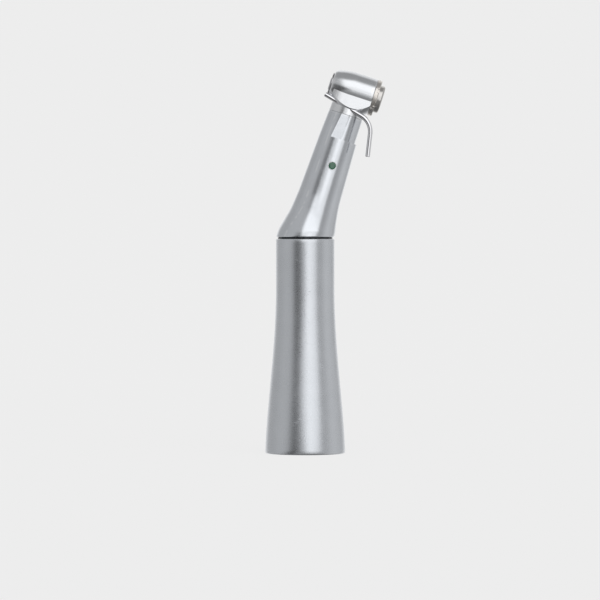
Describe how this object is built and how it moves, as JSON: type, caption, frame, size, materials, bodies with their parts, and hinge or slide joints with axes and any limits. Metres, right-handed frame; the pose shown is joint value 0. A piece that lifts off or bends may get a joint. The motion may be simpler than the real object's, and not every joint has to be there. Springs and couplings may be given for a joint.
{
  "type": "dental contra-angle handpiece",
  "caption": "Reduction contra-angle handpiece: flared satin handle, bent neck, latch head with push-button chuck, planetary and bevel gears, outside irrigation tube.",
  "frame": {"origin": "centre of the handle's rear face, on the handle axis", "axes": "+Z along the handle towards the head; the neck leans towards +X; the bur points towards -X and slightly up"},
  "size_m": [0.0304, 0.0202, 0.0971],
  "materials": {
    "satin_shell": "satin, bead blasted",
    "turned_steel": "fine turned",
    "polished_steel": "polished",
    "dark_seal": "matt",
    "green_enamel": "gloss",
    "spring_steel": "drawn wire",
    "bronze": "fine turned",
    "bearing_steel": "ground and polished",
    "shaft_steel": "ground",
    "gear_steel": "hobbed, light gold tint"
  },
  "bodies": {
    "housing": {"handle_sleeve": "satin_shell", "seam_ring": "dark_seal", "coupling_body": "turned_steel", "coupling_snap_ring": "spring_steel", "gear_case": "turned_steel", "rear_thrust_washer": "bronze", "middle_thrust_washer": "bronze", "output_housing": "turned_steel", "neck_shell": "satin_shell", "neck_bearing_nut": "turned_steel", "head_housing": "satin_shell", "front_ring": "turned_steel", "head_cap": "polished_steel", "button_seal": "dark_seal", "irrigation_tube": "polished_steel", "ratio_dot": "green_enamel", "input_bearing_nut": "turned_steel", "input_outer_races": "bearing_steel", "output_outer_races": "bearing_steel", "neck_outer_races": "bearing_steel", "spindle_outer_races": "bearing_steel", "button_spring": "spring_steel"},
    "drive_shaft": {"input_shaft": "shaft_steel", "drive_dog": "shaft_steel", "dog_pin": "polished_steel", "input_inner_races": "bearing_steel"},
    "input_balls": {"input_ball_sets": "bearing_steel"},
    "planet_1a": {"stage_1_planet_a": "gear_steel"},
    "planet_1b": {"stage_1_planet_b": "gear_steel"},
    "planet_1c": {"stage_1_planet_c": "gear_steel"},
    "first_carrier": {"stage_1_carrier": "shaft_steel", "stage_1_pins": "polished_steel"},
    "planet_2a": {"stage_2_planet_a": "gear_steel"},
    "planet_2b": {"stage_2_planet_b": "gear_steel"},
    "planet_2c": {"stage_2_planet_c": "gear_steel"},
    "second_carrier": {"stage_2_carrier": "shaft_steel", "stage_2_pins": "polished_steel", "output_inner_races": "bearing_steel", "output_spacer": "shaft_steel", "bend_gear_lower": "gear_steel"},
    "output_balls": {"output_ball_sets": "bearing_steel"},
    "neck_shaft": {"neck_shaft": "shaft_steel", "bend_gear_upper": "gear_steel", "head_pinion": "gear_steel", "neck_inner_races": "bearing_steel"},
    "neck_balls": {"neck_ball_sets": "bearing_steel"},
    "spindle": {"chuck_spindle": "shaft_steel", "head_gear": "gear_steel", "spindle_inner_races": "bearing_steel", "sleeve_spring_seat": "shaft_steel", "sleeve_spring": "spring_steel"},
    "spindle_balls": {"spindle_ball_sets": "bearing_steel"},
    "release_sleeve": {"release_sleeve": "shaft_steel"},
    "lock_ball_left": {"lock_ball_left": "bearing_steel"},
    "lock_ball_right": {"lock_ball_right": "bearing_steel"},
    "push_button": {"push_button": "polished_steel"}
  },
  "joints": [
    {"name": "spindle_spin", "type": "hinge", "parent": "housing", "child": "spindle", "pos_m": [0.01224, 0, 0.09166], "axis": [-0.9511, 0, 0.309], "continuous": true},
    {"name": "neck_shaft_spin", "type": "hinge", "parent": "housing", "child": "neck_shaft", "pos_m": [0, 0, 0.054], "axis": [0.309, 0, 0.9511], "continuous": true},
    {"name": "second_carrier_spin", "type": "hinge", "parent": "housing", "child": "second_carrier", "pos_m": [0, 0, 0.054], "axis": [0, 0, 1], "continuous": true},
    {"name": "first_carrier_spin", "type": "hinge", "parent": "housing", "child": "first_carrier", "pos_m": [0, 0, 0.03], "axis": [0, 0, 1], "continuous": true},
    {"name": "drive_shaft_spin", "type": "hinge", "parent": "housing", "child": "drive_shaft", "pos_m": [0, 0, 0.016], "axis": [0, 0, 1], "continuous": true},
    {"name": "planet_1a_spin", "type": "hinge", "parent": "first_carrier", "child": "planet_1a", "pos_m": [0.0036, 0, 0.0266], "axis": [0, 0, 1], "continuous": true},
    {"name": "planet_1b_spin", "type": "hinge", "parent": "first_carrier", "child": "planet_1b", "pos_m": [-0.0018, 0.00312, 0.0266], "axis": [0, 0, 1], "continuous": true},
    {"name": "planet_1c_spin", "type": "hinge", "parent": "first_carrier", "child": "planet_1c", "pos_m": [-0.0018, -0.00312, 0.0266], "axis": [0, 0, 1], "continuous": true},
    {"name": "planet_2a_spin", "type": "hinge", "parent": "second_carrier", "child": "planet_2a", "pos_m": [0.0036, 0, 0.0333], "axis": [0, 0, 1], "continuous": true},
    {"name": "planet_2b_spin", "type": "hinge", "parent": "second_carrier", "child": "planet_2b", "pos_m": [-0.0018, 0.00312, 0.0333], "axis": [0, 0, 1], "continuous": true},
    {"name": "planet_2c_spin", "type": "hinge", "parent": "second_carrier", "child": "planet_2c", "pos_m": [-0.0018, -0.00312, 0.0333], "axis": [0, 0, 1], "continuous": true},
    {"name": "spindle_balls_roll", "type": "hinge", "parent": "housing", "child": "spindle_balls", "pos_m": [0.01224, 0, 0.09166], "axis": [-0.9511, 0, 0.309], "continuous": true},
    {"name": "neck_balls_roll", "type": "hinge", "parent": "housing", "child": "neck_balls", "pos_m": [0, 0, 0.054], "axis": [0.309, 0, 0.9511], "continuous": true},
    {"name": "output_balls_roll", "type": "hinge", "parent": "housing", "child": "output_balls", "pos_m": [0, 0, 0.04], "axis": [0, 0, 1], "continuous": true},
    {"name": "input_balls_roll", "type": "hinge", "parent": "housing", "child": "input_balls", "pos_m": [0, 0, 0.016], "axis": [0, 0, 1], "continuous": true},
    {"name": "button_press", "type": "slide", "parent": "housing", "child": "push_button", "axis": [-0.9511, 0, 0.309], "range_m": [0, 0.0006], "deforming": ["button_spring", "sleeve_spring"]},
    {"name": "sleeve_slide", "type": "slide", "parent": "spindle", "child": "release_sleeve", "axis": [-0.9511, 0, 0.309], "range_m": [0, 0.00054]},
    {"name": "lock_ball_left_slide", "type": "slide", "parent": "spindle", "child": "lock_ball_left", "axis": [0, 1, 0], "range_m": [0, 0.0002]},
    {"name": "lock_ball_right_slide", "type": "slide", "parent": "spindle", "child": "lock_ball_right", "axis": [0, -1, 0], "range_m": [0, 0.0002]}
  ],
  "couplings": [
    {"joint": "neck_shaft_spin", "follows": "spindle_spin", "ratio": 1.25},
    {"joint": "second_carrier_spin", "follows": "spindle_spin", "ratio": 1.25},
    {"joint": "first_carrier_spin", "follows": "spindle_spin", "ratio": 5},
    {"joint": "drive_shaft_spin", "follows": "spindle_spin", "ratio": 20},
    {"joint": "planet_1a_spin", "follows": "spindle_spin", "ratio": -15},
    {"joint": "planet_1b_spin", "follows": "spindle_spin", "ratio": -15},
    {"joint": "planet_1c_spin", "follows": "spindle_spin", "ratio": -15},
    {"joint": "planet_2a_spin", "follows": "spindle_spin", "ratio": -3.75},
    {"joint": "planet_2b_spin", "follows": "spindle_spin", "ratio": -3.75},
    {"joint": "planet_2c_spin", "follows": "spindle_spin", "ratio": -3.75},
    {"joint": "spindle_balls_roll", "follows": "spindle_spin", "ratio": 0.41262},
    {"joint": "neck_balls_roll", "follows": "spindle_spin", "ratio": 0.5},
    {"joint": "output_balls_roll", "follows": "spindle_spin", "ratio": 0.50702},
    {"joint": "input_balls_roll", "follows": "spindle_spin", "ratio": 8},
    {"joint": "sleeve_slide", "follows": "button_press", "ratio": 0.9},
    {"joint": "lock_ball_left_slide", "follows": "button_press", "ratio": 0.324},
    {"joint": "lock_ball_right_slide", "follows": "button_press", "ratio": 0.324}
  ]
}
